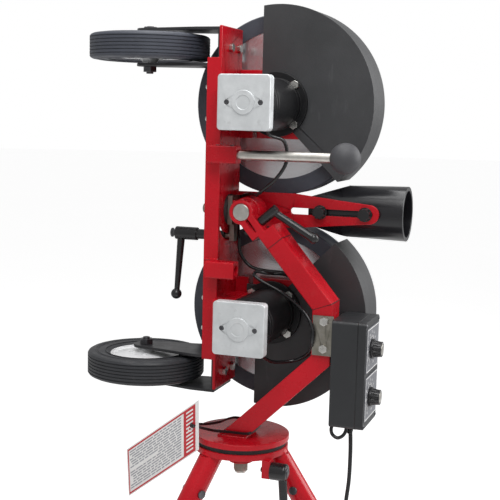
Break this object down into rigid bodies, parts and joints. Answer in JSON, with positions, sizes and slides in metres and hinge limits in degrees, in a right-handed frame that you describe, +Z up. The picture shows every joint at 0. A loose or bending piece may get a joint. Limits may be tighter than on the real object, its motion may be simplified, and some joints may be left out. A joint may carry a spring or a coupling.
{
  "type": "baseball pitching machine",
  "caption": "Tripod ball-throwing machine with paired motor-driven wheels on a swivelling, tilting and rolling head, a feed tube and a dial control box.",
  "frame": {"origin": "on the floor, at the centre of the rectangle round the tripod's feet, which is the bottom centre of the bounding box", "axes": "+Z up, the ball leaves along -X, the feed tube's mouth faces +X, the motors' rear ends face -Y"},
  "size_m": [1.1671, 0.933, 1.5701],
  "materials": {
    "red_paint": "gloss",
    "black_guard": "textured satin",
    "motor_black": "satin",
    "fork_black": "satin",
    "zinc": "zinc plated",
    "steel": "polished",
    "dark_steel": "oiled",
    "cast_aluminium": "cast",
    "machined_aluminium": "turned",
    "wheel_tyre": "matte",
    "black_rubber": "matte",
    "white_hub": "gloss",
    "black_plastic": "gloss",
    "case_black": "fine textured",
    "lever_black": "satin",
    "dial_grey": "printed, satin",
    "circuit_green": "satin",
    "bronze": "satin",
    "card": "satin",
    "friction_black": "matte"
  },
  "bodies": {
    "tripod": {"tripod_head": "red_paint", "swivel_bush": "bronze", "swivel_pad": "friction_black", "leg_tubes": "red_paint", "leg_feet": "black_rubber", "leg_bolts": "dark_steel"},
    "swivel_handle": {"swivel_lever": "lever_black"},
    "turntable": {"table_plate": "red_paint", "spindle": "steel", "spindle_nut": "zinc", "yoke_frame": "red_paint", "control_bracket": "zinc", "bracket_bolts": "zinc", "control_case": "case_black", "dial_plates": "dial_grey", "speed_controls": "circuit_green", "mains_cord": "black_rubber", "hang_tag": "card"},
    "tilt_handle": {"tilt_lever": "lever_black"},
    "dial_upper": {"dial_knob_upper": "black_plastic"},
    "dial_lower": {"dial_knob_lower": "black_plastic"},
    "carrier": {"tilt_shaft": "steel", "pivot_barrel": "red_paint", "pivot_plate": "zinc", "friction_disc": "friction_black", "roll_bolt": "zinc", "roll_nuts": "zinc", "lock_stud": "zinc"},
    "roll_handle": {"roll_lever": "lever_black"},
    "head": {"column": "red_paint", "handle_sockets": "red_paint", "socket_screws": "dark_steel", "handle_rod": "steel", "handle_ball": "black_plastic", "motor_mounts": "red_paint", "saddle_studs": "zinc", "motor_housings": "motor_black", "motor_bearings": "steel", "motor_covers": "cast_aluminium", "cover_screws": "dark_steel", "flange_bolts": "zinc", "guard_upper": "black_guard", "guard_lower": "black_guard", "feed_bracket": "red_paint", "transport_forks": "fork_black", "fork_bolts": "zinc", "transport_axles": "dark_steel"},
    "pitching_wheel_upper": {"hub_upper": "machined_aluminium", "tyre_upper": "wheel_tyre", "rotor_upper": "dark_steel"},
    "pitching_wheel_lower": {"hub_lower": "machined_aluminium", "tyre_lower": "wheel_tyre", "rotor_lower": "dark_steel"},
    "transport_wheel_upper": {"roller_hub_upper": "white_hub", "roller_tyre_upper": "wheel_tyre"},
    "transport_wheel_lower": {"roller_hub_lower": "white_hub", "roller_tyre_lower": "wheel_tyre"},
    "feed": {"feed_tube": "black_plastic"},
    "knob_front": {"feed_knob_front": "black_plastic"},
    "knob_rear": {"feed_knob_rear": "black_plastic"}
  },
  "joints": [
    {"name": "swivel", "type": "hinge", "parent": "tripod", "child": "turntable", "pos_m": [-0.05588, 0.09016, 0.85], "axis": [0, 0, 1], "continuous": true},
    {"name": "swivel_lock", "type": "hinge", "parent": "tripod", "child": "swivel_handle", "pos_m": [0.01012, 0.04416, 0.804], "axis": [1, 0, 0], "range_deg": [-30, 0]},
    {"name": "tilt", "type": "hinge", "parent": "turntable", "child": "carrier", "pos_m": [-0.05338, 0.09016, 1.228], "axis": [0, 1, 0], "range_deg": [-8, 25]},
    {"name": "tilt_lock", "type": "hinge", "parent": "turntable", "child": "tilt_handle", "pos_m": [-0.03339, 0.06516, 1.20432], "axis": [0.7641, 0, 0.6451], "range_deg": [-25, 0]},
    {"name": "dial_upper_turn", "type": "hinge", "parent": "turntable", "child": "dial_upper", "pos_m": [0.16512, 0.07816, 1.018], "axis": [1, 0, 0], "range_deg": [-150, 150]},
    {"name": "dial_lower_turn", "type": "hinge", "parent": "turntable", "child": "dial_lower", "pos_m": [0.16512, 0.07816, 0.939], "axis": [1, 0, 0], "range_deg": [-150, 150]},
    {"name": "roll", "type": "hinge", "parent": "carrier", "child": "head", "pos_m": [-0.05588, 0.09816, 1.228], "axis": [1, 0, 0], "range_deg": [0, 50]},
    {"name": "roll_lock", "type": "hinge", "parent": "carrier", "child": "roll_handle", "pos_m": [-0.15588, 0.09816, 1.183], "axis": [1, 0, 0], "range_deg": [0, 60]},
    {"name": "spin_upper", "type": "hinge", "parent": "head", "child": "pitching_wheel_upper", "pos_m": [-0.02388, 0.18716, 1.4045], "axis": [0, 1, 0], "continuous": true},
    {"name": "spin_lower", "type": "hinge", "parent": "head", "child": "pitching_wheel_lower", "pos_m": [-0.02388, 0.18716, 1.0515], "axis": [0, 1, 0], "continuous": true},
    {"name": "roll_along_upper", "type": "hinge", "parent": "head", "child": "transport_wheel_upper", "pos_m": [-0.23928, 0.09656, 1.495], "axis": [0, 0, 1], "continuous": true},
    {"name": "roll_along_lower", "type": "hinge", "parent": "head", "child": "transport_wheel_lower", "pos_m": [-0.23928, 0.09656, 0.9528], "axis": [0, 0, 1], "continuous": true},
    {"name": "feed_slide", "type": "slide", "parent": "head", "child": "feed", "axis": [1, 0, 0], "range_m": [-0.025, 0.007]},
    {"name": "knob_front_turn", "type": "hinge", "parent": "feed", "child": "knob_front", "pos_m": [0.05812, 0.13316, 1.228], "axis": [0, 1, 0], "range_deg": [0, 180]},
    {"name": "knob_rear_turn", "type": "hinge", "parent": "feed", "child": "knob_rear", "pos_m": [0.13462, 0.13316, 1.228], "axis": [0, 1, 0], "range_deg": [0, 180]}
  ]
}
